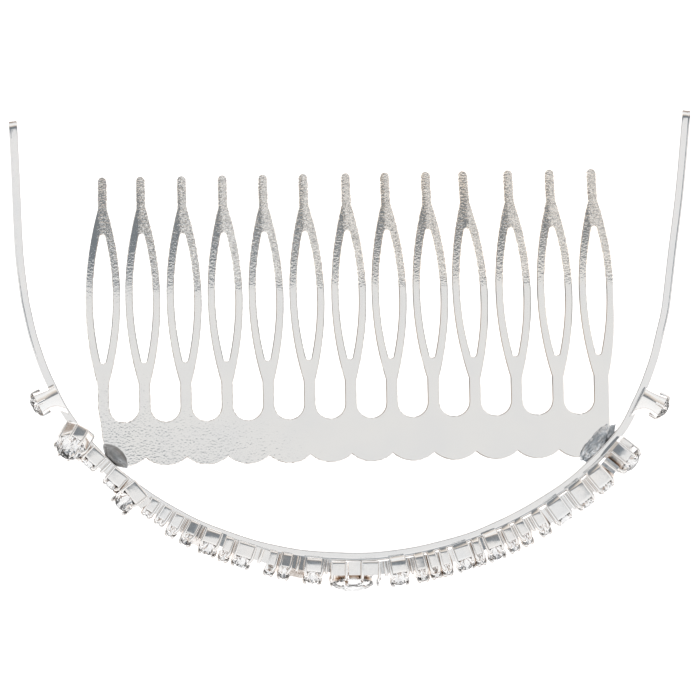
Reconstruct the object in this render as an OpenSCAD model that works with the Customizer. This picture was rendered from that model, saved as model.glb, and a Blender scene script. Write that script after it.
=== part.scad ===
// Tiara comb: a stamped metal comb soldered inside a curved metal band, with a row of
// rhinestones in claw settings standing along the band's upper edge.
// X runs along the band, +Y is the way the teeth point, +Z is up towards the stones.
// The origin is in the middle of the comb's spine, on its underside.

/* [Comb] */
// Number of teeth, an odd number so that one stands in the middle
tooth_count = 13; // [11:2:13]
// Distance from one tooth's middle to the next
tooth_pitch = 6.18; // [6.1:0.02:6.24]
// Distance from the middle of the spine to the tips of the teeth
tooth_reach = 40.2; // [38.5:0.1:42]
// Thickness of the comb's sheet
comb_t = 0.8; // [0.6:0.1:1]
// Width of a tooth's rounded stem and tip
stem_w = 1.43; // [1.2:0.05:1.6]
// Width of a tooth where it leaves the spine
neck_w = 1.73; // [1.5:0.05:1.9]
// Greatest width of the leaf shape in each tooth
leaf_w = 5.25; // [4.9:0.05:5.4]
// Distance from the middle of the spine to the widest place of the leaf
leaf_y = 21.8; // [21:0.1:22.5]
// Width of the slot in the leaf
slot_w = 3; // [2.6:0.1:3.2]
// Length of the slot in the leaf
slot_l = 19.4; // [17:0.2:20]
// Radius of the bend that turns the teeth down towards their tips
bend_r = 75; // [60:5:120]

/* [Band] */
// Radius of the inner face along the front
front_r = 53.66; // [53:0.1:54.5]
// Angle from the middle of the front to where the tighter bend starts
front_a = 38.6; // [37:0.2:40]
// Radius of the inner face in the tighter bends at the sides
side_r = 38.35; // [37.5:0.05:39]
// Angle from the middle of the front to where the straight ends start
side_a = 85.4; // [84:0.2:87]
// Length of the straight ends
end_l = 27.5; // [20:0.1:30]
// Thickness of the band
band_t = 1.3; // [1:0.1:1.5]
// Height of the band
band_h = 3.4; // [3:0.1:4]

/* [Settings] */
// Width of the small settings
small_w = 1.8; // [1.6:0.05:1.8]
// Width of the large settings
large_w = 2.95; // [2.8:0.05:3]
// Width of the accent setting left of the middle
accent_w = 3.5; // [3.3:0.05:3.6]
// Width across the flats of the eight-sided settings at the ends of the row
octagon_w = 4.8; // [4.6:0.1:4.9]
// Length of the setting in the middle
centre_l = 7.6; // [7:0.1:7.7]
// Height of the setting in the middle
centre_h = 4.2; // [3.8:0.1:4.6]
// Length of a setting from its back to its rim
setting_depth = 2.1; // [1.9:0.1:2.3]
// How far the settings reach down past the band's upper edge
setting_drop = 1; // [0.6:0.1:1.2]
// How far the settings at the left end lap over the band's upper edge
lap_left = 1.15; // [0.8:0.05:1.2]
// Width of the square settings that stand alone on one corner near the band's ends
end_w = 2.9; // [2.7:0.05:3]

/* [Hidden] */
$fn = 72;
big_fn = 240;

// Comb
half_teeth = (tooth_count - 1) / 2;
gap_r = (tooth_pitch - neck_w) / 2;
gap_y = 3.3;
neck_y = 9;
stem_y = 35.4;
slot_end_r = 0.42;
slot_end_w = 0.96;
leaf_tuck = 0.1;
spine_front = -2.1;
spine_slant = 1;
scallop_rise = 1.2;
spine_half = half_teeth * tooth_pitch + neck_w / 2;
comb_half = half_teeth * tooth_pitch + leaf_w / 2 + 1;
bend_step = 2;
bend_a = asin((tooth_reach - leaf_y) / bend_r) + bend_step;

// Band: the middles of its front and right-hand bends, and how far the band sits off them
front_c = [0, 37];
side_c = front_c + (front_r - side_r) * [sin(front_a), -cos(front_a)];
band_off = [0.3, -0.25];
front_out = front_r + band_t;
side_out = side_r + band_t;
front_len = front_out * front_a * PI / 180;
turn_step = 1.6;

// Solder joints between the comb's corners and the band
solder_at = [[-35.6, -1.9], [36.6, -0.9]];
solder_r = 2.2;
solder_h = 2.4;

// Settings and stones
rail_z = band_h - setting_drop;
full_lap_s = 40;
corner_cut = 0.6;
claw_r = 0.24;
claw_over = 0.5;
claw_lean = 10;
stone_share = 0.9;
girdle = 0.15;
table_share = 0.55;
centre_flat = 1.3;
centre_side = 1.4;
centre_crown = 2.3;
octagon_depth = [1.9, 2.7];
octagon_crown = [1.5, 0.9];
front_end = 29.5;
front_crown = 1.3;
side_crown = 0.85;
end_lap = 1;
end_web = 1.6;
end_web_h = 1.8;
end_half = end_w / sqrt(2);

// The row's settings, in order from the middle outwards: S small, L large, A accent, O octagon
left_row = "LSSLSLSSSSALLO";
right_row = "LSSSLSLSSSLLLO";
row_n = len(left_row) - 1;

// Where they stand: distances along the band's outer face from the middle of the front
left_places = [6.5, 10.5, 12.6, 16.8, 19.5, 22.1, 25.3, 27.8, 29.9, 32.1, 35.2, 38.8, 43.3, 47.5];
right_places = [5.9, 9.2, 11.1, 13, 15.5, 17.95, 20.4, 22.9, 25, 27.9, 30.9, 34.9, 38.6, 43.1];
centre_place = -0.45;
end_places = [54.3, 52];

silver = [0.85, 0.85, 0.86];
bright = [0.93, 0.93, 0.94];
grey = [0.55, 0.56, 0.58];
crystal = [0.8, 0.86, 0.92];

side_names = ["left", "right"];
small_names = [for (side = side_names) str("small_stones_", side)];
setting_names = [for (side = [0, 1], i = [0:row_n]) row_name("setting", side, i)];
stone_names = [
    for (side = [0, 1], i = [0:row_n])
        if (kind(side, i) != "S") row_name("stone", side, i)
];
pair_names = [
    for (what = ["solder_joint", "end_setting", "end_stone"], side = side_names) str(what, "_", side)
];

// Which setting stands at place i of a side, and its sizes
function row(side) = side == 0 ? left_row : right_row;
function kind(side, i) = row(side)[i];
function width_of(k) = k == "S" ? small_w : k == "L" ? large_w : k == "A" ? accent_w : octagon_w;
function row_name(what, side, i) = str(what, "_", side_names[side], "_", i + 1);

function row_s(side, i) = side == 0 ? left_places[i] : right_places[i];
function sign_of(side) = side == 0 ? -1 : 1;
function lap_of(side, i) = side == 0 ? lap_left * min(1, row_s(side, i) / full_lap_s) : 0;
function depth_of(side, i) = kind(side, i) == "O" ? octagon_depth[side] : setting_depth;
function crown_of(side, i) = kind(side, i) == "O"
    ? octagon_crown[side]
    : kind(side, i) == "A" || row_s(side, i) < front_end ? front_crown : side_crown;

// Radius of the arc that falls away by drop over a distance run
function arc_radius(run, drop) = (run * run + drop * drop) / (2 * drop);

// Half of a leaf shape: w wide at y = 0 and narrowing to tip_w at y = run
module leaf_half(w, tip_w, run) {
    r = arc_radius(run, (w - tip_w) / 2);
    intersection() {
        translate([r - w / 2, 0]) circle(r, $fn = big_fn);
        translate([w / 2 - r, 0]) circle(r, $fn = big_fn);
        translate([-w, 0]) square([2 * w, run]);
    }
}

module slot_outline() {
    run = slot_l / 2 - slot_end_r;
    for (up = [0, 1]) mirror([0, up]) {
        leaf_half(slot_w, slot_end_w, run);
        translate([0, run]) circle(slot_end_r);
    }
}

module tooth_outline() {
    difference() {
        union() {
            translate([-neck_w / 2, 0]) square([neck_w, leaf_y]);
            translate([0, leaf_y]) mirror([0, 1])
                leaf_half(leaf_w, neck_w - leaf_tuck, leaf_y - neck_y);
            translate([0, leaf_y]) leaf_half(leaf_w, stem_w - leaf_tuck, stem_y - leaf_y);
            translate([-stem_w / 2, leaf_y]) square([stem_w, tooth_reach - stem_w / 2 - leaf_y]);
            translate([0, tooth_reach - stem_w / 2]) circle(d = stem_w);
        }
        translate([0, leaf_y]) slot_outline();
    }
}

// The strip that joins the teeth, scalloped along the front and rounded between the teeth
module spine_outline() {
    scallop_r = arc_radius(tooth_pitch / 2, scallop_rise);
    spine_back = gap_y + gap_r;
    difference() {
        union() {
            polygon([
                [-spine_half, spine_back],
                [spine_slant - spine_half, spine_front],
                [spine_half - spine_slant, spine_front],
                [spine_half, spine_back]
            ]);
            for (i = [0.5 - half_teeth:half_teeth - 0.5])
                translate([i * tooth_pitch, spine_front]) intersection() {
                    translate([0, scallop_r - scallop_rise]) circle(scallop_r);
                    translate([-tooth_pitch, -2 * scallop_rise])
                        square([2 * tooth_pitch, 2 * scallop_rise]);
                }
        }
        for (i = [0.5 - half_teeth:half_teeth - 0.5])
            translate([i * tooth_pitch, spine_back]) circle(gap_r);
    }
}

module comb_outline() {
    spine_outline();
    for (i = [-half_teeth:half_teeth]) translate([i * tooth_pitch, 0]) tooth_outline();
}

// The sheet that the comb is stamped from: flat, then bent down from the leaves' middles
function bent_edge(r) = [for (a = [0:bend_step:bend_a]) [leaf_y + r * sin(a), r * cos(a) - bend_r]];
module comb_sheet() {
    sheet_y = 2 * band_h;
    rotate([90, 0, 90]) linear_extrude(2 * comb_half, center = true) polygon(concat(
        [[-sheet_y, 0]], bent_edge(bend_r), backwards(bent_edge(bend_r + comb_t)), [[-sheet_y, comb_t]]
    ));
}

module comb() {
    color(silver) difference() {
        intersection() {
            comb_sheet();
            translate([0, 0, -2 * band_h]) linear_extrude(3 * band_h) comb_outline();
        }
        band_body();
    }
}

// A point beside the band's path, out from its inner face, where the path has turned by a
function beside(a, out) = a <= front_a
    ? front_c + (front_r + out) * [sin(a), -cos(a)]
    : side_c + (side_r + out) * [sin(a), -cos(a)];

// Half of an edge of the band, from the middle of the front to the end of one straight end
function half_edge(out) = concat(
    [for (a = [0:turn_step:front_a]) beside(a, out)],
    [for (a = [front_a + turn_step:turn_step:side_a - turn_step / 2]) beside(a, out)],
    [beside(side_a, out), beside(side_a, out) + end_l * [cos(side_a), sin(side_a)]]
);
function mirrored(points) = [for (i = [len(points) - 1:-1:1]) [-points[i].x, points[i].y]];
function whole_edge(out) = concat(mirrored(half_edge(out)), half_edge(out));
function backwards(points) = [for (i = [len(points) - 1:-1:0]) points[i]];

module band_body() {
    difference() {
        translate(band_off) linear_extrude(band_h)
            polygon(concat(whole_edge(0), backwards(whole_edge(band_t))));
        for (side = [0, 1]) translate(band_off) mirror([side, 0, 0]) translate(beside(side_a, 0))
            rotate(side_a) translate([end_l, 0, 0]) end_corners();
    }
}

// What is cut off to round the band's end, seen from the side
module end_corners() {
    r = band_h / 2;
    difference() {
        translate([-r, -2 * band_t, -r]) cube([2 * r, 3 * band_t, 4 * r]);
        translate([-r, band_t, r]) rotate([90, 0, 0]) cylinder(r = r, h = 3 * band_t);
    }
}

module band() { color(bright) band_body(); }

// A mound of solder on the comb's corner, against the band's inner face
module solder_joint(side) {
    mound_r = arc_radius(solder_r, solder_h / 2);
    color(grey) difference() {
        translate(solder_at[side]) rotate_extrude() intersection() {
            translate([0, solder_h / 2 - mound_r + comb_t]) circle(mound_r, $fn = big_fn);
            square([solder_r, solder_h]);
        }
        linear_extrude(comb_t) comb_outline();
        outside_band();
    }
}

// Everything beyond the band's inner face, for trimming what is soldered against it
module outside_band() {
    translate(band_off) linear_extrude(2 * band_h)
        polygon(concat(whole_edge(0), backwards(whole_edge(3 * band_t))));
}

// Puts a setting's own frame on the band's outer face, s along it from the middle of the front:
// x along the band, y up and z outwards, with the setting's middle z_mid above the table
module on_band(s, z_mid) {
    on_front = abs(s) <= front_len;
    past = abs(s) - front_len;
    turn = on_front ? abs(s) / front_out * 180 / PI : front_a + past / side_out * 180 / PI;
    way = s < 0 ? -1 : 1;
    middle = on_front ? front_c : [way * side_c.x, side_c.y];
    translate(band_off + middle) rotate(way * turn) translate([0, on_front ? -front_out : -side_out, z_mid])
        rotate([90, 0, 0]) children();
}

// A round stone: table, crown, girdle and a pointed back, with its girdle at z = seat
module round_stone(w, seat, crown) {
    r = stone_share * w / 2;
    rotate_extrude() polygon([
        [0, seat - 0.8 * r],
        [r, seat],
        [r, seat + girdle],
        [table_share * r, seat + crown],
        [0, seat + crown]
    ]);
}

// Claws at n corners, on a circle of radius d at the rim and leaning in over the stone
module claws(n, d, turn, seat) {
    foot = claw_r * 2;
    for (i = [0:n - 1]) rotate(turn + i * 360 / n) translate([d, 0, seat]) rotate([0, -claw_lean, 0])
        translate([0, 0, foot - seat]) cylinder(r = claw_r, h = seat - foot + claw_over);
}

module cut_square(w) {
    intersection() {
        square(w, center = true);
        rotate(45) square(sqrt(2) * (w - corner_cut / sqrt(2)), center = true);
    }
}

// A square cup with cut corners and a claw at each
module square_setting(w, seat) {
    linear_extrude(seat) cut_square(w);
    claws(4, (w / sqrt(2)) - corner_cut / 2, 45, seat);
}

// A cup with eight flat sides and a claw at each corner
module octagon_setting(w, seat) {
    rotate(22.5) cylinder(d = w / cos(22.5), h = seat, $fn = 8);
    claws(8, w / 2 / cos(22.5) - claw_r, 22.5, seat);
}

module row_setting_body(side, i) {
    w = width_of(kind(side, i));
    seat = depth_of(side, i);
    translate([0, 0, -lap_of(side, i)]) {
        if (kind(side, i) == "O") octagon_setting(w, seat);
        else square_setting(w, seat);
    }
}

module row_stone_body(side, i) {
    seat = depth_of(side, i) - lap_of(side, i);
    round_stone(width_of(kind(side, i)), seat, crown_of(side, i));
}

module at_row(side, i) {
    on_band(sign_of(side) * row_s(side, i), rail_z + width_of(kind(side, i)) / 2) children();
}

module row_setting(side, i) {
    color(bright) difference() {
        at_row(side, i) row_setting_body(side, i);
        at_row(side, i) row_stone_body(side, i);
        band_body();
    }
}

module row_stone(side, i) {
    color(crystal) at_row(side, i) row_stone_body(side, i);
}

module small_stones(side) {
    for (i = [0:row_n]) if (kind(side, i) == "S") row_stone(side, i);
}

// The long eight-cornered outline of the middle setting, made smaller by inset all round
module centre_outline(inset) {
    x = centre_l / 2 - inset;
    y = centre_h / 2 - inset;
    polygon([
        [x, -centre_side / 2], [x, centre_side / 2], [centre_flat / 2, y], [-centre_flat / 2, y],
        [-x, centre_side / 2], [-x, -centre_side / 2], [-centre_flat / 2, -y], [centre_flat / 2, -y]
    ]);
}

module centre_stone_body() {
    translate([0, 0, setting_depth]) {
        linear_extrude(girdle) centre_outline(claw_r);
        translate([0, 0, girdle]) linear_extrude(centre_crown, scale = 0.5) centre_outline(claw_r);
        mirror([0, 0, 1]) linear_extrude(setting_depth / 2, scale = 0.2) centre_outline(claw_r);
    }
}

module at_centre() { on_band(centre_place, rail_z + centre_h / 2) children(); }

module centre_setting() {
    color(bright) difference() {
        at_centre() {
            linear_extrude(setting_depth) centre_outline(0);
            for (x = [-1, 1], y = [-1, 1]) {
                translate([x * centre_flat / 2, y * (centre_h / 2 - claw_r), 0])
                    cylinder(r = claw_r, h = setting_depth + claw_over);
                translate([x * (centre_l / 2 - claw_r), y * centre_side / 2, 0])
                    cylinder(r = claw_r, h = setting_depth + claw_over);
            }
        }
        at_centre() centre_stone_body();
        band_body();
    }
}

module centre_stone() { color(crystal) at_centre() centre_stone_body(); }

// The square cup that stands on one corner near each end of the band, on a web with a hollow curve
module end_setting(side) {
    seat = setting_depth + 0.3;
    color(bright) difference() {
        at_end(side) {
            translate([0, 0, -end_lap]) rotate(45) linear_extrude(seat + end_lap) cut_square(end_w);
            claws(4, end_half - corner_cut / 2, 0, seat);
            translate([-sign_of(side) * (end_half + end_web) / 2, 0, -end_lap])
                end_web(sign_of(side));
        }
        at_end(side) end_stone_body();
        band_body();
    }
}

module end_web(way) {
    long = end_half + end_web;
    rotate([90, 0, 0]) linear_extrude(end_web_h, center = true) difference() {
        translate([-long / 2, 0]) square([long, end_lap + end_web]);
        translate([-way * long / 2, end_lap + end_web]) circle(end_web);
    }
}

module end_stone_body() { round_stone(end_w, setting_depth + 0.3, 0.3 * end_w); }

module at_end(side) { on_band(sign_of(side) * end_places[side], rail_z + end_half) children(); }

module end_stone(side) { color(crystal) at_end(side) end_stone_body(); }

comb();
band();
centre_setting();
centre_stone();
for (side = [0, 1]) {
    solder_joint(side);
    end_setting(side);
    end_stone(side);
    small_stones(side);
}
for (side = [0, 1], i = [0:row_n]) {
    row_setting(side, i);
    if (kind(side, i) != "S")
        row_stone(side, i);
}
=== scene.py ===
import math
import random

import bmesh
import bpy
from mathutils import Matrix, Vector, noise


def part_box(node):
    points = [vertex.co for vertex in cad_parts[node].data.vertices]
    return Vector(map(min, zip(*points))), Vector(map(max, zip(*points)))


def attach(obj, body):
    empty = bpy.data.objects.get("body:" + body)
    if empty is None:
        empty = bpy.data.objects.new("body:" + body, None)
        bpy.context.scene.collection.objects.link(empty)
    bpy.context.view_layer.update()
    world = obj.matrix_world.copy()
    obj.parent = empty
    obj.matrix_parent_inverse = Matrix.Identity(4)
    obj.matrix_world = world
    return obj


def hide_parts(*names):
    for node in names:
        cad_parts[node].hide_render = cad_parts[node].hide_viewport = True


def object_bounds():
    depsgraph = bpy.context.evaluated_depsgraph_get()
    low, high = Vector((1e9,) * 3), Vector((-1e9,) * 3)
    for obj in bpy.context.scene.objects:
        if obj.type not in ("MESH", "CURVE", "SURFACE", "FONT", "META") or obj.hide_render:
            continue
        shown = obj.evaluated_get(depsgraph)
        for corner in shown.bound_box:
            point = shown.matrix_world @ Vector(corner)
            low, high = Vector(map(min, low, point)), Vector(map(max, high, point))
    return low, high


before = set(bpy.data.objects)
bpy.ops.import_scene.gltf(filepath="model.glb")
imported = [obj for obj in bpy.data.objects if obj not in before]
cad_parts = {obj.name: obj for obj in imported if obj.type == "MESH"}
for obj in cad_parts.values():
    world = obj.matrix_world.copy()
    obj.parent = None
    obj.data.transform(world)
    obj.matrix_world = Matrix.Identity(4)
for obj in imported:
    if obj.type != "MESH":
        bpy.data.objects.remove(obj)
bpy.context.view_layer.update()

# Tiara comb: a stamped comb soldered inside a curved band that carries a row of rhinestones.
# +Y is the way the teeth point and +Z is up. Sizes below are in millimetres; MM turns them into metres.
MM = 0.001
comb_lo, comb_hi = (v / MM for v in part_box("comb"))
band_lo, band_hi = (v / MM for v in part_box("band"))
random.seed(7)

# ---------------------------------------------------------------- sizes

TEETH = 13
PITCH = 6.18
NECK_W, STEM_W, LEAF_W = 1.73, 1.43, 5.25
LEAF_Y, NECK_Y, STEM_Y = 21.8, 9.0, 35.4
SLOT_W, SLOT_L, SLOT_END_R = 3.0, 19.3, 0.45
REACH = comb_hi.y
COMB_T = 0.8
GAP_R = (PITCH - NECK_W) / 2
GAP_TOP = 3.3 + GAP_R
SPINE_FRONT, SPINE_SLANT, SCALLOP_RISE = -2.1, 1.0, 1.2
SHEET_EDGE_R = 0.12
TIP_DROP = -comb_lo.z
BEND_START = (19.2, 25.2)
# how far each tooth's tip leans to the right, from the left-hand tooth on
TOOTH_LEAN = (0.45, 0, 0, -0.05, -0.15, -0.25, 0, -0.3, -0.35, -1.0, -0.45, -0.45, -0.35)

FRONT_R, FRONT_A = 53.66, math.radians(38.6)
SIDE_R, SIDE_A = 38.35, math.radians(85.4)
BAND_OFF = Vector((0.3, -0.25))
FRONT_C = Vector((0, 37))
SIDE_C = FRONT_C + (FRONT_R - SIDE_R) * Vector((math.sin(FRONT_A), -math.cos(FRONT_A)))
END_L = 27.5
BAND_T, BAND_H = 1.3, band_hi.z - band_lo.z
FRONT_OUT, SIDE_OUT = FRONT_R + BAND_T, SIDE_R + BAND_T
FRONT_LEN = FRONT_OUT * FRONT_A

# how far the band, bent by hand, lies outside its two arcs: height along Y, and the distance
ARM_BEND = {
    "left": ((10, 0), (16, 0.1), (22, 0.45), (28, 0.6), (34, 0.35), (40, 0), (48, -0.4)),
    "right": ((-1, 0), (7, -0.75), (16, -1.05), (26, -0.6), (36, 0.05), (48, 0.45)),
}
# how far the comb's right half is drawn out, and from where over what distance
STRETCH, STRETCH_FROM, STRETCH_RUN = 0.4, 8, 29
# how much wider the last tooth's foot is, the height where that ends, and over how much height it fades
FOOT, FOOT_TOP, FOOT_FADE = 0.6, 20, 10

# Each setting of the row from the middle outwards: kind (S small, L large, A accent, O octagon), place
# along the band, width, how many degrees its stone looks up, and how far its walls bulge
ROWS = {
    "left": [
        ("L", 6.5, 3.0, 4, 0.12), ("S", 10.5, 2.0, 10, 0), ("S", 12.6, 1.8, 3, 0.02),
        ("L", 16.8, 3.05, 0, 0), ("S", 19.5, 1.85, 2, 0.02), ("L", 22.1, 2.95, 5, 0.1),
        ("S", 25.3, 2.05, 9, 0), ("S", 27.8, 1.9, 1, 0.02), ("S", 29.9, 1.85, 1, 0),
        ("S", 32.1, 1.9, 1, 0.03), ("A", 35.2, 3.5, 1, 0), ("L", 38.8, 3.0, 1, 0),
        ("L", 43.3, 2.95, 0, 0), ("O", 47.5, 4.8, 12, 0),
    ],
    "right": [
        ("L", 5.9, 3.0, 4, 0.12), ("S", 9.2, 2.0, 4.5, 0), ("S", 11.1, 1.8, 1, 0.03),
        ("S", 13.0, 1.8, 0, 0.02), ("L", 15.5, 2.95, 0, 0), ("S", 17.95, 1.75, 2, 0.04),
        ("L", 20.3, 2.85, 6, 0.08), ("S", 22.9, 1.95, 1, 0.03), ("S", 25.0, 1.95, 1, 0.03),
        ("S", 27.9, 2.0, 1, 0.03), ("L", 30.9, 2.95, 0, 0), ("L", 34.9, 3.05, 0, 0),
        ("L", 38.6, 3.0, 0, 0), ("O", 43.1, 4.4, 7, 0),
    ],
}
CENTRE_S, CENTRE_L, CENTRE_H = -0.45, 7.6, 4.2
# the middle stone's half-length, how far it sits along the band from its setting, and its setting's slope
CENTRE_STONE_HALF, CENTRE_STONE_SHIFT, CENTRE_SLOPE = 3.1, -0.35, 0.3
SETTING_DEPTH = 2.1
RAIL_Z = BAND_H - 1.0
# how far a setting stands in over the band: on the left growing up to a place along the band, on the right
# just short of touching, where its back is drawn out to meet the band instead
LAP_LEFT, FULL_LAP_S, LAP_RIGHT, SINK_RIGHT = 1.15, 40.0, -0.1, 0.35
OCTAGON_DEPTH = {"left": 1.9, "right": 2.7}
# past this place along the band less of each stone's face shows, and the large settings on the right are
# deeper by this much
FRONT_END, DEEPER_RIGHT = 29.5, 0.7
# a stone's width and the height of its crown, as shares of its setting's width
STONE_SHARE, CROWN_SHARE = 0.9, 0.22
# how far some settings look along the band, in degrees towards the right-hand end
SWING = {("left", "A"): -18, ("left", "O"): 26}
END_W, END_PLACE, END_DEPTH = 3.9, {"left": 54.3, "right": 52.0}, 2.4
WAY = {"left": -1, "right": 1}


def clamp(value):
    """The value, kept between 0 and 1."""
    return min(max(value, 0), 1)


# ---------------------------------------------------------------- places along the band

def turn_at(s):
    """How far the band has turned, s along its outer face from the middle of the front."""
    if abs(s) <= FRONT_LEN:
        return s / FRONT_OUT
    past = (abs(s) - FRONT_LEN) / SIDE_OUT
    return math.copysign(FRONT_A + past, s)


def on_band(s, z_mid):
    """A frame on the band's outer face: x along the band, y up, z outwards. In millimetres."""
    a = turn_at(s)
    if abs(s) <= FRONT_LEN:
        middle, r = FRONT_C, FRONT_OUT
    else:
        middle, r = Vector((math.copysign(SIDE_C.x, s), SIDE_C.y)), SIDE_OUT
    middle = middle + BAND_OFF
    place = Vector((middle.x + r * math.sin(a), middle.y - r * math.cos(a), z_mid))
    return Matrix.Translation(place) @ Matrix.Rotation(a, 4, "Z") @ Matrix.Rotation(math.pi / 2, 4, "X")


# ---------------------------------------------------------------- making meshes

def add_piece(name, bm, materials, replaced, smooth=False, place=None):
    """Turns a bmesh in millimetres into a piece of the object that rides on its one body."""
    if place is not None:
        bm.transform(place)
    bm.transform(Matrix.Scale(MM, 4))
    bmesh.ops.recalc_face_normals(bm, faces=bm.faces)
    mesh = bpy.data.meshes.new(name)
    for face in bm.faces:
        face.smooth = smooth
    bm.to_mesh(mesh)
    bm.free()
    obj = bpy.data.objects.new(name, mesh)
    bpy.context.scene.collection.objects.link(obj)
    for material in materials:
        mesh.materials.append(material)
    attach(obj, "root")
    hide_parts(*replaced)
    return obj


def add_bmesh(bm, other):
    """Adds another bmesh's geometry, and frees it."""
    mesh = bpy.data.meshes.new("part")
    other.to_mesh(mesh)
    other.free()
    bm.from_mesh(mesh)
    bpy.data.meshes.remove(mesh)


def loft(bm, rings):
    """Joins rings of equally many points into a tube, with flat caps."""
    verts = [[bm.verts.new(p) for p in ring] for ring in rings]
    n = len(verts[0])
    for low, high in zip(verts, verts[1:]):
        for i in range(n):
            j = (i + 1) % n
            bm.faces.new((low[i], low[j], high[j], high[i]))
    bm.faces.new(list(reversed(verts[0])))
    bm.faces.new(verts[-1])


def arc(centre, r, a0, a1, n):
    """n + 1 points along an arc, angles in radians from +X."""
    angles = [a0 + (a1 - a0) * i / n for i in range(n + 1)]
    return [Vector((centre[0] + r * math.cos(a), centre[1] + r * math.sin(a))) for a in angles]


def smooth_by_angle(obj, degrees):
    """Smooth shading except across edges sharper than this."""
    for poly in obj.data.polygons:
        poly.use_smooth = True
    obj.data.set_sharp_from_angle(angle=math.radians(degrees))


# ---------------------------------------------------------------- materials

def new_material(name):
    m = bpy.data.materials.new(name)
    m.use_nodes = True
    return m, m.node_tree, m.node_tree.nodes["Principled BSDF"]


def add_node(tree, kind, **settings):
    node = tree.nodes.new(kind)
    for key, value in settings.items():
        if key in node.inputs:
            node.inputs[key].default_value = value
        else:
            setattr(node, key, value)
    return node


def noise_at(tree, coords, scale, detail, rough=0.55, distortion=0.0):
    tex = add_node(tree, "ShaderNodeTexNoise", Scale=scale, Detail=detail, Roughness=rough)
    tex.inputs["Distortion"].default_value = distortion
    tree.links.new(coords, tex.inputs["Vector"])
    return tex.outputs["Fac"]


def ramp(tree, value, stops):
    """A colour ramp with stops of (position, colour or grey)."""
    node = tree.nodes.new("ShaderNodeValToRGB")
    tree.links.new(value, node.inputs["Fac"])
    while len(node.color_ramp.elements) < len(stops):
        node.color_ramp.elements.new(0.5)
    for element, (place, colour) in zip(node.color_ramp.elements, stops):
        element.position = place
        rgb = (colour,) * 3 if isinstance(colour, (int, float)) else colour
        element.color = (*rgb, 1)
    return node.outputs["Color"]


def bump(tree, height, strength, distance, under=None):
    node = add_node(tree, "ShaderNodeBump", Strength=strength, Distance=distance)
    tree.links.new(height, node.inputs["Height"])
    if under is not None:
        tree.links.new(under, node.inputs["Normal"])
    return node.outputs["Normal"]


def plated_metal(name, bright, cool, tarnish, peel, corner=0.0004, rough=(0.03, 0.14)):
    """Polished silver plating: a fine orange peel, a cloudy polish, and tarnish in the corners."""
    m, tree, shader = new_material(name)
    coords = add_node(tree, "ShaderNodeTexCoord").outputs["Object"]
    cloud = noise_at(tree, coords, 160.0, 3.0)
    patches = ramp(tree, cloud, [(0.4, bright), (0.62, cool)])
    hollow = add_node(tree, "ShaderNodeAmbientOcclusion", Distance=corner, samples=8)
    shade = ramp(tree, hollow.outputs["AO"], [(0.15, 1.0), (0.6, 0.0)])
    mix = add_node(tree, "ShaderNodeMix", data_type="RGBA")
    tree.links.new(shade, mix.inputs["Factor"])
    tree.links.new(patches, mix.inputs["A"])
    mix.inputs["B"].default_value = (*tarnish, 1)
    tree.links.new(mix.outputs["Result"], shader.inputs["Base Color"])
    shader.inputs["Metallic"].default_value = 1.0
    smear = noise_at(tree, coords, 1400.0, 2.0)
    tree.links.new(ramp(tree, smear, [(0.3, rough[0]), (0.75, rough[1])]), shader.inputs["Roughness"])
    fine = noise_at(tree, coords, 1500.0, 2.0, 0.5)
    wide = noise_at(tree, coords, 130.0, 1.0, 0.4)
    first = bump(tree, wide, peel * 0.3, 0.0004)
    tree.links.new(bump(tree, fine, peel, 0.00004, first), shader.inputs["Normal"])
    return m


def maths(tree, operation, a, b=None, c=None):
    """A maths node on sockets or plain numbers."""
    node = add_node(tree, "ShaderNodeMath", operation=operation)
    for socket, value in zip(node.inputs, (a, b, c)):
        if isinstance(value, (int, float)):
            socket.default_value = value
        elif value is not None:
            tree.links.new(value, socket)
    return node.outputs[0]


def multiply(tree, a, b):
    """Two colours multiplied."""
    node = add_node(tree, "ShaderNodeMix", data_type="RGBA", blend_type="MULTIPLY")
    node.inputs["Factor"].default_value = 1.0
    tree.links.new(a, node.inputs["A"])
    tree.links.new(b, node.inputs["B"])
    return node.outputs["Result"]


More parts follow.
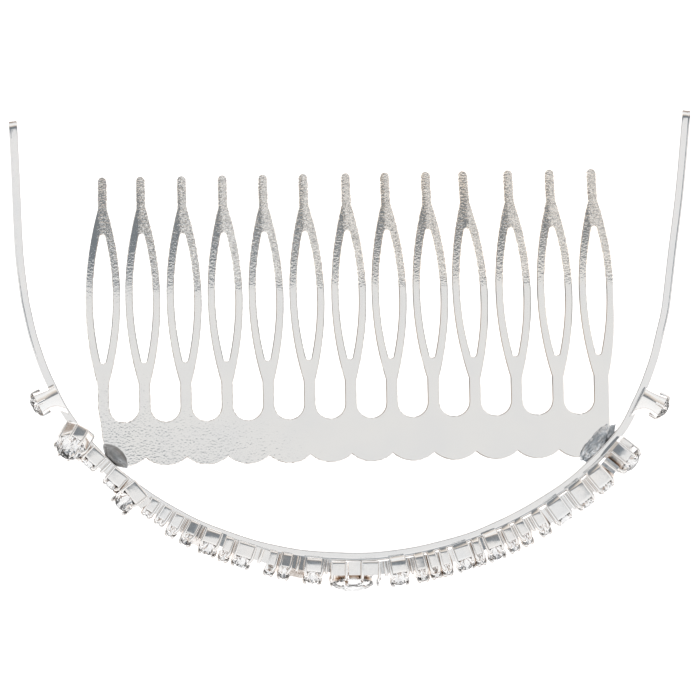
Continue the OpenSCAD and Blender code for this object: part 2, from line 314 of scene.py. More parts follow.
def comb_metal():
    """Plated sheet: its orange peel is strong at the left of the spine and on the bent teeth, else faint."""
    m, tree, shader = new_material("comb_metal")
    coords = add_node(tree, "ShaderNodeTexCoord").outputs["Object"]
    split = add_node(tree, "ShaderNodeSeparateXYZ")
    tree.links.new(coords, split.inputs[0])
    x, y = split.outputs["X"], split.outputs["Y"]
    # 0 to 1 from the comb's left-hand end to its right-hand end
    from_left = maths(tree, "MULTIPLY_ADD", x, 12.0, 0.5)
    along_spine = ramp(tree, from_left, [(0.1, 1.0), (0.5, 0.35), (0.75, 0.08)])
    height = maths(tree, "MULTIPLY_ADD", y, 20.0, 0.2)
    up_from_spine = ramp(tree, height, [(0.14, 1.0), (0.3, 0.55), (0.5, 0.25)])
    spine = maths(tree, "MULTIPLY", along_spine, up_from_spine)
    bent = ramp(tree, maths(tree, "MULTIPLY", y, 25.0), [(0.56, 0.0), (0.62, 1.0)])
    across = maths(tree, "FRACT", maths(tree, "MULTIPLY_ADD", x, 1 / (PITCH * MM), 0.5))
    right_strand = ramp(tree, across, [(0.4, 0.35), (0.5, 1.0)])
    left_end = ramp(tree, from_left, [(0.04, 0.35), (0.3, 1.0)])
    teeth = maths(tree, "MULTIPLY", maths(tree, "MULTIPLY", bent, right_strand), left_end)
    amount = maths(tree, "MAXIMUM", maths(tree, "MULTIPLY", spine, 0.32), teeth)
    squeeze = add_node(tree, "ShaderNodeMapping")
    squeeze.inputs["Scale"].default_value = (0.85, 1.0, 1.0)
    tree.links.new(coords, squeeze.inputs["Vector"])
    peel = noise_at(tree, squeeze.outputs["Vector"], 3500.0, 1.5, 0.5)
    cloud = noise_at(tree, coords, 130.0, 2.0)
    # painted reflection: the bent teeth of the comb's right half are given a tan tint, standing in for the
    # tan reflection their bend picks up
    painted_reflection_tint = maths(tree, "MULTIPLY", bent, ramp(tree, from_left, [(0.3, 0.0), (0.6, 1.0)]))
    mix = add_node(tree, "ShaderNodeMix", data_type="RGBA")
    tree.links.new(painted_reflection_tint, mix.inputs["Factor"])
    patches = ramp(tree, cloud, [(0.35, (0.9, 0.89, 0.87)), (0.65, (0.88, 0.875, 0.865))])
    tree.links.new(patches, mix.inputs["A"])
    mix.inputs["B"].default_value = (0.9, 0.87, 0.83, 1)
    tree.links.new(mix.outputs["Result"], shader.inputs["Base Color"])
    shader.inputs["Metallic"].default_value = 1.0
    tree.links.new(ramp(tree, cloud, [(0.3, 0.06), (0.7, 0.12)]), shader.inputs["Roughness"])
    node = add_node(tree, "ShaderNodeBump", Distance=0.0002)
    tree.links.new(amount, node.inputs["Strength"])
    tree.links.new(peel, node.inputs["Height"])
    tree.links.new(node.outputs["Normal"], shader.inputs["Normal"])
    return m


def solder_material(name, stops, depth):
    m, tree, shader = new_material(name)
    coords = add_node(tree, "ShaderNodeTexCoord").outputs["Object"]
    cloud = noise_at(tree, coords, 900.0, 5.0, 0.7, 0.6)
    tree.links.new(ramp(tree, cloud, stops), shader.inputs["Base Color"])
    tree.links.new(ramp(tree, cloud, [(0.35, 0.45), (0.7, 0.2)]), shader.inputs["Roughness"])
    shader.inputs["Metallic"].default_value = 1.0
    tree.links.new(bump(tree, cloud, 0.7, depth), shader.inputs["Normal"])
    return m


def crystal_material():
    """Clear cut glass. The foil behind it is the stone's second material."""
    m, tree, shader = new_material("crystal")
    coords = add_node(tree, "ShaderNodeTexCoord").outputs["Object"]
    haze = noise_at(tree, coords, 700.0, 2.0)
    tree.links.new(ramp(tree, haze, [(0.35, 0.0), (0.8, 0.02)]), shader.inputs["Roughness"])
    clear = ramp(tree, haze, [(0.3, (0.99, 0.995, 1.0)), (0.7, (1.0, 1.0, 1.0))])
    tree.links.new(clear, shader.inputs["Base Color"])
    shader.inputs["Transmission Weight"].default_value = 1.0
    shader.inputs["IOR"].default_value = 1.54
    return m


def foil_material():
    m, tree, shader = new_material("foil")
    coords = add_node(tree, "ShaderNodeTexCoord").outputs["Object"]
    flecks = noise_at(tree, coords, 1100.0, 3.0)
    tree.links.new(
        ramp(tree, flecks, [(0.3, (0.93, 0.93, 0.94)), (0.6, (1.0, 0.99, 0.98))]), shader.inputs["Base Color"]
    )
    shader.inputs["Metallic"].default_value = 1.0
    shader.inputs["Roughness"].default_value = 0.04
    return m


COMB_METAL = comb_metal()
BAND_METAL = plated_metal("band_metal", (0.93, 0.92, 0.91), (0.9, 0.9, 0.9), (0.4, 0.34, 0.3), peel=0.1)
SETTING_METAL = plated_metal(
    "setting_metal", (0.96, 0.94, 0.92), (0.93, 0.93, 0.93), (0.4, 0.26, 0.16),
    peel=0.15, corner=0.0008, rough=(0.1, 0.24)
)
# painted shade and painted reflection on one solder: the left joint is painted in dark greys as shade, the
# right joint keeps a silver colour with bluish-grey patches painted as reflection
SOLDER_PAINTED_SHADE_GREYS = [(0.3, (0.26, 0.27, 0.28)), (0.7, (0.52, 0.53, 0.54))]
SOLDER_SILVER_AND_REFLECTION_GREYS = [(0.3, (0.3, 0.34, 0.38)), (0.5, (0.5, 0.54, 0.58)), (0.6, (0.92, 0.94, 0.96))]
SOLDER = {
    "left": solder_material("solder_painted_shade", SOLDER_PAINTED_SHADE_GREYS, 0.0001),
    "right": solder_material("solder_silver_and_painted_reflection", SOLDER_SILVER_AND_REFLECTION_GREYS, 0.0003),
}
CRYSTAL = crystal_material()
FOIL = foil_material()


# ---------------------------------------------------------------- comb

def arc_radius(run, drop):
    """Radius of the arc that falls away by drop over a distance run."""
    return (run * run + drop * drop) / (2 * drop)


def half_width(w, tip_w, run, y):
    """Half the width of a leaf, y from its widest place, where it narrows from w to tip_w over run."""
    r = arc_radius(run, (w - tip_w) / 2)
    return w / 2 - (r - math.sqrt(r * r - y * y))


def tooth_side():
    """The right-hand edge of the middle tooth, from its neck up to its tip."""
    steps = 14
    points = [Vector((NECK_W / 2, GAP_TOP))]
    for i in range(steps + 1):
        y = NECK_Y + (LEAF_Y - NECK_Y) * i / steps
        points.append(Vector((half_width(LEAF_W, NECK_W, LEAF_Y - NECK_Y, LEAF_Y - y), y)))
    for i in range(1, steps + 1):
        y = LEAF_Y + (STEM_Y - LEAF_Y) * i / steps
        points.append(Vector((half_width(LEAF_W, STEM_W, STEM_Y - LEAF_Y, y - LEAF_Y), y)))
    tip = (0, REACH - STEM_W / 2)
    return points + arc(tip, STEM_W / 2, 0, math.pi / 2, 6)


def comb_outline():
    """The comb's outer edge, anticlockwise from the front left corner."""
    half = (TEETH - 1) / 2
    scallop_r = arc_radius(PITCH / 2, SCALLOP_RISE)
    scallop_a = math.asin(PITCH / 2 / scallop_r)
    side = tooth_side()
    edge = half * PITCH + NECK_W / 2
    points = [Vector((-edge + SPINE_SLANT, SPINE_FRONT))]
    for i in range(TEETH - 1):
        centre = ((i + 0.5 - half) * PITCH, SPINE_FRONT - SCALLOP_RISE + scallop_r)
        points += arc(centre, scallop_r, -math.pi / 2 - scallop_a, -math.pi / 2 + scallop_a, 10)
    points.append(Vector((edge - SPINE_SLANT, SPINE_FRONT)))
    points.append(Vector((edge + FOOT, SPINE_FRONT + 0.4)))
    for i in reversed(range(TEETH)):
        x = (i - half) * PITCH
        foot = FOOT if i == TEETH - 1 else 0
        points += [Vector((x + p.x + foot * clamp((FOOT_TOP - p.y) / FOOT_FADE), p.y)) for p in side]
        points += [Vector((x - p.x, p.y)) for p in reversed(side[:-1])]
        if i:
            points += arc((x - PITCH / 2, GAP_TOP), GAP_R, 0, -math.pi, 16)[1:-1]
    return points


def slot_outline(x):
    run = SLOT_L / 2 - SLOT_END_R
    steps = 12
    side = [
        Vector((half_width(SLOT_W, 2 * SLOT_END_R, run, abs(y)), LEAF_Y + y))
        for y in (run * i / steps for i in range(-steps, steps + 1))
    ]
    top = arc((0, LEAF_Y + run), SLOT_END_R, 0, math.pi, 8)[1:-1]
    bottom = arc((0, LEAF_Y - run), SLOT_END_R, math.pi, 2 * math.pi, 8)[1:-1]
    loop = side + top + [Vector((-p.x, p.y)) for p in reversed(side)] + bottom
    return [Vector((x + p.x, p.y)) for p in loop]


def tidy_loop(points, least=0.02):
    """Drops points that all but repeat the one before."""
    kept = []
    for p in points:
        if not kept or (p - kept[-1]).length > least:
            kept.append(p)
    if (kept[0] - kept[-1]).length <= least:
        kept.pop()
    return kept


def bend_down(p):
    """Where a point of the flat comb lies once the teeth are bent down and lean as they do."""
    x, y, z = p
    x += STRETCH * clamp((x - STRETCH_FROM) / STRETCH_RUN)
    tooth = min(max(round(x / PITCH + (TEETH - 1) / 2), 0), TEETH - 1)
    if y > NECK_Y:
        x += TOOTH_LEAN[tooth] * (y - NECK_Y) / (REACH - NECK_Y)
    share = (x / PITCH + TEETH / 2) / TEETH
    start = BEND_START[0] + (BEND_START[1] - BEND_START[0]) * share + 0.5 * math.sin(tooth * 2.4)
    run = REACH - start
    radius = arc_radius(run, TIP_DROP)
    past = y - start
    if past <= 0:
        return Vector((x, y, z))
    a = math.asin(min(past / radius, 1))
    return Vector((x, y + z * math.sin(a), (radius + z) * math.cos(a) - radius))


def make_comb():
    curve = bpy.data.curves.new("comb_outline", "CURVE")
    curve.dimensions = "2D"
    curve.fill_mode = "BOTH"
    curve.extrude = COMB_T / 2 - SHEET_EDGE_R
    curve.bevel_depth = SHEET_EDGE_R
    curve.bevel_resolution = 0
    curve.offset = -SHEET_EDGE_R
    half = (TEETH - 1) / 2
    for loop in [comb_outline()] + [slot_outline((i - half) * PITCH) for i in range(TEETH)]:
        loop = tidy_loop(loop)
        spline = curve.splines.new("POLY")
        spline.points.add(len(loop) - 1)
        for point, p in zip(spline.points, loop):
            point.co = (p.x, p.y, 0, 1)
        spline.use_cyclic_u = True
    flat = bpy.data.objects.new("comb_outline", curve)
    bpy.context.scene.collection.objects.link(flat)
    mesh = bpy.data.meshes.new_from_object(flat.evaluated_get(bpy.context.evaluated_depsgraph_get()))
    bm = bmesh.new()
    bm.from_mesh(mesh)
    bpy.data.objects.remove(flat)
    bmesh.ops.remove_doubles(bm, verts=bm.verts, dist=0.002)
    y = BEND_START[0] - 0.5
    while y < REACH:
        geometry = bm.verts[:] + bm.edges[:] + bm.faces[:]
        bmesh.ops.bisect_plane(bm, geom=geometry, dist=0.0005, plane_co=(0, y, 0), plane_no=(0, 1, 0))
        y += 0.8
    for v in bm.verts:
        v.co.z += COMB_T / 2
        v.co = bend_down(v.co)
    comb = add_piece("tiara_comb", bm, [COMB_METAL], ["comb"])
    smooth_by_angle(comb, 8)


# ---------------------------------------------------------------- band

def band_station(a):
    """A point on the band's inner face where it has turned by a."""
    outward = Vector((math.sin(a), -math.cos(a)))
    if abs(a) <= FRONT_A:
        return BAND_OFF + FRONT_C + FRONT_R * outward
    return BAND_OFF + Vector((math.copysign(SIDE_C.x, a), SIDE_C.y)) + SIDE_R * outward


def arm_bend(a, y):
    """The band's distance outside its arcs at height y, eased from knot to knot."""
    knots = ARM_BEND["left" if a < 0 else "right"]
    y = min(max(y, knots[0][0]), knots[-1][0])
    i = max(k for k in range(len(knots) - 1) if knots[k][0] <= y)
    (y0, v0), (y1, v1) = knots[i], knots[i + 1]
    before, after = knots[max(i - 1, 0)], knots[min(i + 2, len(knots) - 1)]
    m0 = (v1 - before[1]) / (y1 - before[0]) * (y1 - y0) if i else 0
    m1 = (after[1] - v0) / (after[0] - y0) * (y1 - y0)
    t = (y - y0) / (y1 - y0)
    return (
        (2 * t ** 3 - 3 * t * t + 1) * v0 + (t ** 3 - 2 * t * t + t) * m0
        + (3 * t * t - 2 * t ** 3) * v1 + (t ** 3 - t * t) * m1
    )


def band_section(height, thick, edge_r, groove):
    """A cross-section with rounded corners and a groove along its upper side, as points (out, z)."""
    points = []
    for cx, cy, start in ((1, 1, 0), (-1, 1, 90), (-1, -1, 180), (1, -1, 270)):
        centre = (cx * (thick / 2 - edge_r), cy * (height / 2 - edge_r))
        points += arc(centre, edge_r, math.radians(start), math.radians(start + 90), 5)
        if (cx, cy) == (1, 1):
            for out, depth in ((0.4, 0), (0.32, groove), (0.24, groove), (0.16, 0)):
                points.append(Vector((out, height / 2 - depth * min(1, height / BAND_H))))
    return points


def make_band():
    """The band: stations a degree apart round its arcs, then along its straight arms to their round ends."""
    n = int(SIDE_A / math.radians(1.0))
    curved = [(SIDE_A * i / n, 0.0) for i in range(-n, n + 1)]
    last = END_L - BAND_H / 2
    straight = [END_L * i / 16 for i in range(1, 15)]
    straight = [d for d in straight if d < last - 0.3] + [last]
    end_turns = (10, 20, 30, 40, 50, 60, 68, 76, 82, 86)
    straight += [last + BAND_H / 2 * math.sin(math.radians(t)) for t in end_turns]
    stations = [(-SIDE_A, d) for d in reversed(straight)] + curved + [(SIDE_A, d) for d in straight]
    bm = bmesh.new()
    rings = []
    for a, along in stations:
        inner = band_station(a)
        outward = Vector((math.sin(a), -math.cos(a)))
        heading = Vector((math.cos(a), math.sin(a))) * math.copysign(1, a)
        past = max(0.0, along - last)
        height = 2 * math.sqrt(max((BAND_H / 2) ** 2 - past * past, 0.01))
        edge_r = min(0.13, height / 2 * 0.9)
        wave = 0.03 * math.sin(a * 23) + 0.02 * math.sin(a * 41 + 1)
        middle = inner + outward * (BAND_T / 2) + heading * along
        if abs(a) > FRONT_A:
            middle.x += arm_bend(a, middle.y) * math.copysign(1, a)
        # the groove is deepest on the arms
        groove = 0.015 + 0.055 * clamp((math.degrees(abs(a)) - 70) / 15)
        ring = []
        for p in band_section(height, BAND_T, edge_r, groove):
            out = p.x + wave
            ring.append(Vector((middle.x + outward.x * out, middle.y + outward.y * out, BAND_H / 2 + p.y)))
        rings.append(ring)
    loft(bm, rings)
    band = add_piece("tiara_band", bm, [BAND_METAL], ["band"])
    smooth_by_angle(band, 50)


# ---------------------------------------------------------------- stones

def cut_stone(bm, rx, ry, seat, crown, girdle=0.15, table=0.52):
    """A brilliant cut: table, kite and upper girdle facets, girdle, and a foiled pavilion."""
    sides, back = 8, 0.85
    def ring(n, turn, share, z):
        return [
            bm.verts.new((
                rx * share * math.cos(2 * math.pi * (i + turn) / n),
                ry * share * math.sin(2 * math.pi * (i + turn) / n),
                z,
            ))
            for i in range(n)
        ]
    top = ring(sides, 0.0, table, seat + crown)
    star = ring(sides, 0.5, 0.78, seat + girdle + (crown - girdle) * 0.58)
    high = ring(2 * sides, 0.0, 1.0, seat + girdle)
    low = ring(2 * sides, 0.0, 1.0, seat)
    deep = ring(sides, 0.5, 0.55, seat - back * min(rx, ry) * 0.5)
    culet = bm.verts.new((0, 0, seat - back * min(rx, ry)))
    foil = []
    bm.faces.new(top)
    for i in range(sides):
        j = (i + 1) % sides
        bm.faces.new((top[i], star[i], top[j]))
        bm.faces.new((top[j], star[i], high[2 * j % (2 * sides)], star[j]))
        bm.faces.new((star[i], high[2 * i], high[2 * i + 1]))
        bm.faces.new((star[i], high[2 * i + 1], high[(2 * i + 2) % (2 * sides)]))
        foil.append(bm.faces.new((low[2 * i], deep[i], low[2 * i + 1])))
        foil.append(bm.faces.new((low[2 * i + 1], deep[i], low[(2 * i + 2) % (2 * sides)])))
        foil.append(bm.faces.new((low[2 * j % (2 * sides)], deep[i], culet, deep[j])))
    for i in range(2 * sides):
        j = (i + 1) % (2 * sides)
        bm.faces.new((low[i], low[j], high[j], high[i]))
    for face in foil:
        face.material_index = 1


def stone_bmesh(w, seat, crown, turn):
    bm = bmesh.new()
    cut_stone(bm, w / 2 * STONE_SHARE, w / 2 * STONE_SHARE, seat, crown)
    bm.transform(Matrix.Rotation(turn, 4, "Z"))
    return bm


# ---------------------------------------------------------------- settings

def rounded_square(half, corner, z, steps=4):
    points = []
    for cx, cy, start in ((1, 1, 0), (-1, 1, 90), (-1, -1, 180), (1, -1, 270)):
        centre = (cx * (half - corner), cy * (half - corner))
        for p in arc(centre, corner, math.radians(start), math.radians(start + 90), steps):
            points.append(Vector((p.x, p.y, z)))
    return points


def polygon_ring(sides, across, z, turn):
    r = across / 2 / math.cos(math.pi / sides)
    angles = [turn + 2 * math.pi * i / sides for i in range(sides)]
    return [Vector((r * math.cos(a), r * math.sin(a), z)) for a in angles]


def tube(bm, path, radii, sides=10):
    """A closed tube along a path, with flat caps; its ends narrow only as the radii given do."""
    rings = []
    # each ring's x is the last ring's, turned as little as the path allows
    for i, p in enumerate(path):
        before, after = path[max(i - 1, 0)], path[min(i + 1, len(path) - 1)]
        along = (after - before).normalized()
        x = along.orthogonal().normalized()
        if i:
            x = (last_x - along * last_x.dot(along)).normalized()
        last_x = x
        y = along.cross(x)
        rings.append([
            p + radii[i] * (math.cos(2 * math.pi * k / sides) * x + math.sin(2 * math.pi * k / sides) * y)
            for k in range(sides)
        ])
    loft(bm, rings)


def claw(bm, direction, rim, seat, r, start=0.15):
    """A claw that runs up the outside of a cup at the rim's corner and folds in over the stone."""
    reach, over = 0.55, 0.62
    out = direction.normalized()
    up = Vector((0, 0, 1))
    straight = [out * rim + up * (start + (seat - start) * t) for t in (0, 0.35, 0.7, 1)]
    folded = [
        out * (rim - over * 0.12) + up * (seat + reach * 0.4),
        out * (rim - over * 0.42) + up * (seat + reach * 0.78),
        out * (rim - over * 0.78) + up * (seat + reach * 0.95),
        out * (rim - over * 0.95) + up * (seat + reach * 0.95),
    ]
    radii = [r * 0.85, r, r, r, r, r * 0.95, r * 0.7, r * 0.3]
    tube(bm, straight + folded, radii)


def back_rounding(z):
    """How far a cup's wall lies in at height z, because its back is rounded."""
    return 0.22 * (1 - math.sqrt(max(0.0, 1 - (1 - min(z / 0.45, 1)) ** 2)))


def bulged(h, z, seat, bulge):
    """Half-width of a cup at height z: rounded at the back, and barrelled by bulge."""
    middle = seat / 2
    return h - back_rounding(z) - bulge * ((z - middle) / middle) ** 2


def square_cup(w, seat, bulge):
    """A square cup, its panels sunk between the four posts that end as claws over the stone."""
    bm = bmesh.new()
    h = w / 2 - 0.1
    inner = 0.9 * w / 2
    levels = [0, 0.03, 0.1, 0.2, 0.32, 0.45] + [0.45 + (seat - 0.5) * i / 6 for i in range(1, 7)]
    rings = [rounded_square(bulged(h, z, seat, bulge), 0.3, z) for z in levels]
    rim = bulged(h, seat, seat, bulge)
    rings += [rounded_square(half, 0.34, z) for half, z in (
        (rim - 0.02, seat), (inner - 0.04, seat), (inner - 0.1, seat - 0.1), (inner * 0.85, seat * 0.25),
    )]
    loft(bm, rings)
    for x in (-1, 1):
        for y in (-1, 1):
            claw(bm, Vector((x, y, 0)), (w / 2 - 0.24) * math.sqrt(2), seat, r=0.25)
    return bm


def octagon_cup(w, seat):
    bm = bmesh.new()
    inner = 0.9 * w
    turn = math.pi / 8
    rings = [polygon_ring(8, across, z, turn) for across, z in (
        (w * 0.9, 0), (w * 0.95, 0.08), (w * 0.97, 0.25), (w * 0.97, seat * 0.5), (w * 0.97, seat - 0.12),
        (w * 0.95, seat), (inner + 0.04, seat), (inner - 0.05, seat - 0.12), (inner * 0.8, seat * 0.3),
    )]
    loft(bm, rings)
    for i in range(8):
        a = turn + i * math.pi / 4
        claw(bm, Vector((math.cos(a), math.sin(a), 0)), w / 2 / math.cos(math.pi / 8) - 0.2, seat, r=0.23)
    return bm


def centre_cup(seat):
    """Two box cups side by side with a narrow sunk bridge between them, under one long stone."""
    bm = bmesh.new()
    y = CENTRE_H / 2
    claw_path = (
        (0, 0.12), (0, seat * 0.6), (0, seat + 0.15),
        (0.1, seat + 0.45), (0.35, seat + 0.7), (0.6, seat + 0.75),
    )
    for left, right in ((-3.75, -1.2), (0.75, 3.75)):
        middle, h = (left + right) / 2, (right - left) / 2 - 0.1
        rings = []
        for z in (0, 0.03, 0.1, 0.2, 0.32, 0.45, seat * 0.5, seat - 0.05, seat):
            back = back_rounding(z)
            ring = rounded_square(1.0, 0.3 / y, z)
            rings.append([Vector((middle + p.x * (h - back), p.y * (y - 0.1 - back), z)) for p in ring])
        loft(bm, rings)
        for x in (left + 0.22, right - 0.22):
            for side in (-1, 1):
                foot = Vector((x, side * (y - 0.24), 0))
                path = [foot + Vector((0, -side * lean, z)) for lean, z in claw_path]
                tube(bm, path, [0.2, 0.25, 0.25, 0.24, 0.2, 0.1])
    bridge = [(x, v * (y - 0.45)) for x, v in ((-1.0, -1), (0.8, -1), (0.8, 1), (-1.0, 1))]
    loft(bm, [[Vector((*corner, z)) for corner in bridge] for z in (0.1, seat - 0.1)])
    return bm


def end_cup(way):
    """A cup on one corner, with a web that flares into the band towards the row."""
    bm = bmesh.new()
    seat = END_DEPTH
    h = END_W / 2
    corners = [
        (1, 0), (0.72, 0.74), (0, 1.0), (-0.72, 0.74), (-1, 0), (-0.72, -0.74), (0, -1.0), (0.72, -0.74),
    ]
    outline = []
    for (ax, ay), (bx, by) in zip(corners, corners[1:] + corners[:1]):
        outline += [Vector((ax + (bx - ax) * t, ay + (by - ay) * t)) for t in (0.06, 0.5, 0.94)]
    rings = []
    outside = (
        (0.84, -1.0), (0.84, -0.5), (0.84, 0.0), (0.85, 0.4), (0.87, 0.8),
        (0.9, 1.2), (0.94, 1.7), (0.97, 2.1), (1.0, seat),
    )
    for share, z in outside:
        web = 1.9 * max(0.0, (1.3 - z) / 2.3) ** 2.2
        rings.append([
            Vector((p.x * h * share - way * web * max(0.0, -way * p.x), p.y * h * share, z)) for p in outline
        ])
    for share, z in ((0.93, seat + 0.02), (0.86, seat - 0.1), (0.7, seat * 0.5)):
        rings.append([Vector((p.x * h * share, p.y * h * share, z)) for p in outline])
    loft(bm, rings)
    for a in (0, 90, 180, 270):
        out = Vector((math.cos(math.radians(a)), math.sin(math.radians(a)), 0))
        claw(bm, out, h - 0.12, seat, r=0.26, start=1.2)
    return bm


def slant(bm, seat, half, slope):
    """Draws a setting or stone out along its lower side, so that the stone's face looks up."""
    for v in bm.verts:
        v.co.z += slope * (half - v.co.y) * clamp(v.co.z / seat)


def sink_back(bm, depth):
    """Draws a setting's back out into the band that it is soldered to."""
    back = min(v.co.z for v in bm.verts)
    for v in bm.verts:
        if v.co.z < back + 0.05:
            v.co.z -= depth


def face_depth(side, kind, s):
    """How much of a stone's face shows past its setting from straight above."""
    if kind == "A":
        return 2.5
    if kind == "O":
        return 3.0 if side == "left" else 1.1
    if s > FRONT_END:
        return 0.75 if side == "left" and s > 33 else 0.85
    return 1.65 if side == "left" else 1.85


def link(bm, way, w, gap, depth):
    """What joins a setting to the one before it: a sunk block and, where there is room, a post above it."""
    inset = 0.3
    h = w / 2 - inset
    x0, x1 = sorted((-way * (w / 2 - inset), -way * (w / 2 + gap + inset)))
    block = [(x0, -h), (x1, -h), (x1, h), (x0, h)]
    loft(bm, [[Vector((x, y, z)) for x, y in block] for z in (0.1, depth * 0.9)])
    if gap > 0.45:
        r = min(gap * 0.28, 0.3)
        path = [Vector(((x0 + x1) / 2, h, z)) for z in (0.15, depth * 0.5, depth, depth + 0.2)]
        tube(bm, path, [r, r, r * 0.9, r * 0.5])


def cup_place(s, z_mid, nod, swing):
    """A setting's frame with its stone looking up by nod degrees and sideways by swing, a little unevenly."""
    wobble = Matrix.Rotation(math.radians(random.uniform(-2, 2)), 4, "Z")
    look_up = Matrix.Rotation(math.radians(-nod + random.uniform(-0.7, 0.7)), 4, "X")
    sideways = Matrix.Rotation(math.radians(swing + random.uniform(-2.5, 2.5)), 4, "Y")
    return on_band(s, z_mid) @ wobble @ look_up @ sideways


def make_row(side):
    small = bmesh.new()
    last_edge = CENTRE_L / 2 + WAY[side] * CENTRE_S
    for i, (kind, s, w, nod, bulge) in enumerate(ROWS[side], 1):
        lap = LAP_LEFT * min(1, s / FULL_LAP_S) if side == "left" else LAP_RIGHT
        seat = OCTAGON_DEPTH[side] if kind == "O" else SETTING_DEPTH
        crown = CROWN_SHARE * w
        slope = (face_depth(side, kind, s) - crown * 0.6) / (STONE_SHARE * w)
        if side == "right" and kind == "L" and s > FRONT_END:
            seat += DEEPER_RIGHT
        swing = SWING.get((side, kind), 0)
        place = cup_place(WAY[side] * s, RAIL_Z + w / 2, nod, swing) @ Matrix.Translation((0, 0, -lap))
        cup = octagon_cup(w, seat) if kind == "O" else square_cup(w, seat, bulge)
        if side == "right":
            sink_back(cup, SINK_RIGHT)
        if kind != "O" or side == "right":
            link(cup, WAY[side], w, s - w / 2 - last_edge, seat)
        last_edge = s + w / 2
        slant(cup, seat, w / 2, slope)
        replaced = [f"setting_{side}_{i}"]
        obj = add_piece(f"cup_{side}_{i}", cup, [SETTING_METAL], replaced, place=place)
        smooth_by_angle(obj, 38)
        stone = stone_bmesh(w, seat, crown, random.uniform(0, math.pi / 4))
        slant(stone, seat, w / 2, slope)
        if kind == "S":
            stone.transform(place)
            add_bmesh(small, stone)
        else:
            replaced = [f"stone_{side}_{i}"]
            add_piece(f"rhinestone_{side}_{i}", stone, [CRYSTAL, FOIL], replaced, place=place)
    add_piece(f"small_rhinestones_{side}", small, [CRYSTAL, FOIL], [f"small_stones_{side}"])


def make_centre():
    seat = SETTING_DEPTH
    place = on_band(CENTRE_S, RAIL_Z + CENTRE_H / 2)
    cup = centre_cup(seat)
    slant(cup, seat, CENTRE_H / 2, CENTRE_SLOPE)
    cup = add_piece("cup_centre", cup, [SETTING_METAL], ["centre_setting"], place=place)
    smooth_by_angle(cup, 30)
    bm = bmesh.new()
    cut_stone(bm, CENTRE_STONE_HALF, CENTRE_H / 2 - 0.2, seat + 0.5, 1.0, girdle=0.3, table=0.5)
    slant(bm, seat, CENTRE_H / 2, CENTRE_SLOPE)
    stone_place = place @ Matrix.Translation((CENTRE_STONE_SHIFT, 0, 0))
    add_piece("rhinestone_centre", bm, [CRYSTAL, FOIL], ["centre_stone"], place=stone_place)


def make_end(side):
    place = on_band(WAY[side] * END_PLACE[side], RAIL_Z + END_W / 2)
    cup = end_cup(WAY[side])
    replaced = [f"end_setting_{side}"]
    cup = add_piece(f"cup_end_{side}", cup, [SETTING_METAL], replaced, place=place)
    smooth_by_angle(cup, 30)
    stone = stone_bmesh(END_W * 0.92, END_DEPTH, 0.95, 0.2)
    replaced = [f"end_stone_{side}"]
    add_piece(f"rhinestone_end_{side}", stone, [CRYSTAL, FOIL], replaced, place=place)


# ---------------------------------------------------------------- solder

# each solder joint's length, width, height, roughness and how far it sits in from the band's outer face
SOLDER_SHAPE = {"left": (2.5, 1.2, 1.1, 0.05, 0.55), "right": (3.5, 1.4, 1.2, 0.28, 0.4)}
SOLDER_BEHIND = 0.55


def make_solder(side):
    """A lumpy mound in the corner between the comb and the band, drawn out along the band."""
    lo, hi = (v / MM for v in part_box(f"solder_joint_{side}"))
    way = WAY[side]
    middle = Vector(((lo.x + hi.x) / 2, (lo.y + hi.y) / 2, COMB_T * 0.7))
    out = Vector((middle.x, middle.y, 0)) - Vector((way * SIDE_C.x + BAND_OFF.x, SIDE_C.y + BAND_OFF.y, 0))
    a = math.atan2(out.x, -out.y)
    long, wide, high, rough, inset = SOLDER_SHAPE[side]
    place = on_band(way * (FRONT_LEN + SIDE_OUT * (abs(a) - FRONT_A)), middle.z)
    place = place @ Matrix.Translation((0, 0, -inset))
    bm = bmesh.new()
    bmesh.ops.create_icosphere(bm, subdivisions=5, radius=1.0)
    seed = Vector((3.1, 8.4, 1.7)) * (way + 2)
    for v in bm.verts:
        d = v.co.copy()
        lump = 1 + rough * noise.noise(d * 1.7 + seed) + rough * 0.6 * noise.noise(d * 4.5 + seed)
        inwards = wide * (1 - 0.35 * d.x * d.x)
        depth = -BAND_T - SOLDER_BEHIND + d.z * inwards * lump
        v.co = Vector((d.x * long * lump, max(d.y, -0.4) * high * lump, depth))
    replaced = [f"solder_joint_{side}"]
    add_piece(f"solder_{side}", bm, [SOLDER[side]], replaced, smooth=True, place=place)


# ---------------------------------------------------------------- studio

def make_floor():
    """White paper just below the object."""
    mesh = bpy.data.meshes.new("floor")
    size = 3.0
    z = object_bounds()[0].z - 0.0002
    corners = [(-size, -size, z), (size, -size, z), (size, size, z), (-size, size, z)]
    mesh.from_pydata(corners, [], [(0, 1, 2, 3)])
    floor = bpy.data.objects.new("floor", mesh)
    bpy.context.scene.collection.objects.link(floor)
    paper, _, shader = new_material("paper")
    shader.inputs["Base Color"].default_value = (0.93, 0.93, 0.93, 1)
    shader.inputs["Roughness"].default_value = 0.9
    shader.inputs["Emission Color"].default_value = (1, 1, 1, 1)
    shader.inputs["Emission Strength"].default_value = 0.6
    mesh.materials.append(paper)


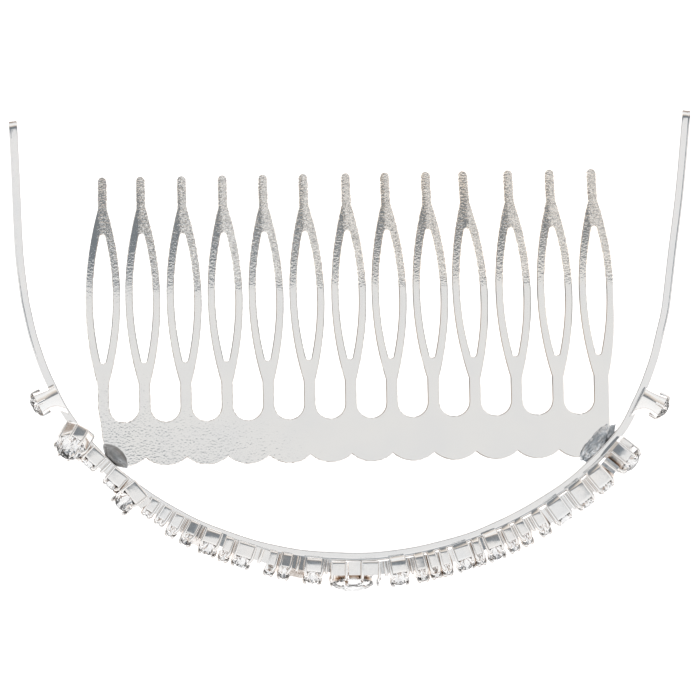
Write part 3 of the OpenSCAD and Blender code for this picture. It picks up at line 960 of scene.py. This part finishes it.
def make_world():
    """A white tent: greyer straight overhead, where the camera stands, with a dark gap behind it."""
    world = bpy.data.worlds.new("tent")
    bpy.context.scene.world = world
    world.use_nodes = True
    tree = world.node_tree
    tree.nodes.clear()
    coords = add_node(tree, "ShaderNodeTexCoord").outputs["Generated"]
    split = add_node(tree, "ShaderNodeSeparateXYZ")
    tree.links.new(coords, split.inputs[0])
    angle = maths(tree, "ARCTAN2", split.outputs["Y"], split.outputs["Z"])
    share = maths(tree, "MULTIPLY_ADD", angle, 1 / math.pi, 0.5)
    def at(degrees):
        """The ramp's position for an angle from straight overhead, positive on the teeth's side."""
        return 0.5 + degrees / 180
    tent = ramp(tree, share, [
        (at(-80), 0.6), (at(-60), 0.84), (at(-45), 0.84), (at(-12), 0.78), (at(-6), 0.7), (at(9.5), 0.7),
        (at(10.5), (0.16, 0.185, 0.21)), (at(28), (0.18, 0.19, 0.2)), (at(34), (0.6, 0.53, 0.46)),
        (at(50), 0.84), (at(75), 0.6),
    ])
    tan_low, tan_high = (0.4, 0.31, 0.25), (0.62, 0.52, 0.45)
    horizon = ramp(tree, split.outputs["Z"], [(0.0, tan_low), (0.2, tan_high), (0.34, 1.0)])
    both = multiply(tree, tent, horizon)
    background = add_node(tree, "ShaderNodeBackground", Strength=1.2)
    tree.links.new(both, background.inputs["Color"])
    output = add_node(tree, "ShaderNodeOutputWorld")
    tree.links.new(background.outputs[0], output.inputs["Surface"])


def make_camera():
    """Nearly straight above, a little to the left and front, as far off as a product photograph is taken."""
    cam = bpy.data.cameras.new("camera")
    obj = bpy.data.objects.new("camera", cam)
    bpy.context.scene.collection.objects.link(obj)
    target = Vector((0.0, 13.5, 1.0)) * MM
    back = Vector((-52.0, -45.0, 913.0)) * MM
    lean = math.radians(1.05)
    backward = back.normalized()
    right = Vector((math.cos(lean), -math.sin(lean), 0))
    right = (right - backward * right.dot(backward)).normalized()
    up = backward.cross(right)
    turned = Matrix((right, up, backward)).transposed().to_4x4()
    obj.matrix_world = Matrix.Translation(target + back) @ turned
    cam.sensor_width = 36.0
    width_seen = 105.0 * MM
    cam.lens = cam.sensor_width * back.length / width_seen
    cam.clip_start, cam.clip_end = 0.05, 10
    bpy.context.scene.camera = obj


make_camera()
make_comb()
make_band()
make_centre()
for side in ("left", "right"):
    make_row(side)
    make_end(side)
    make_solder(side)
make_floor()
make_world()
bpy.context.scene.view_settings.view_transform = "Standard"
